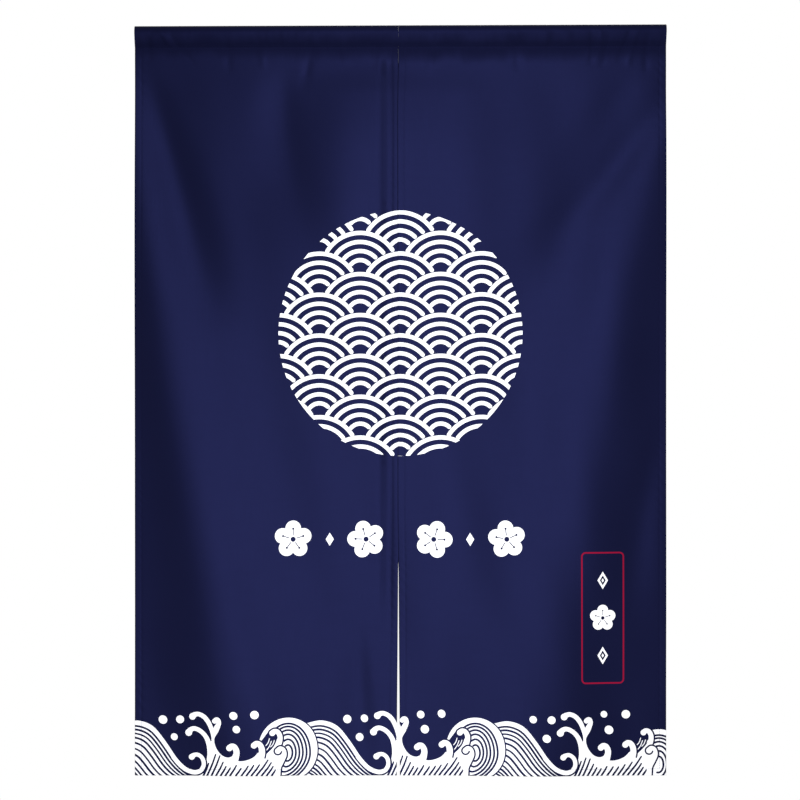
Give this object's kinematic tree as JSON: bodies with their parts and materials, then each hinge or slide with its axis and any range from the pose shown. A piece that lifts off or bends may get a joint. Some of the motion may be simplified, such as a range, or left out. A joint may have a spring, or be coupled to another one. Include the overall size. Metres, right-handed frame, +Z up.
{
  "type": "split door curtain",
  "caption": "Split doorway curtain of soft navy cloth: side by side panels hang from their own rod pockets, lap at the middle and part towards the hem, with a wave border print.",
  "frame": {"origin": "middle of the curtain's top edge, half way through the depth of its rod pocket", "axes": "+Z up, +X to the right as seen from the front, the printed front faces -Y"},
  "size_m": [0.8505, 0.0302, 1.2016],
  "materials": {
    "printed_cloth": "soft satin woven polyester, navy with a white print",
    "pocket_cloth": "soft satin woven polyester, navy, doubled over the rod"
  },
  "bodies": {
    "root": {"heading_left": "pocket_cloth", "heading_right": "pocket_cloth", "panel_left": "printed_cloth", "panel_right": "printed_cloth"}
  },
  "joints": []
}
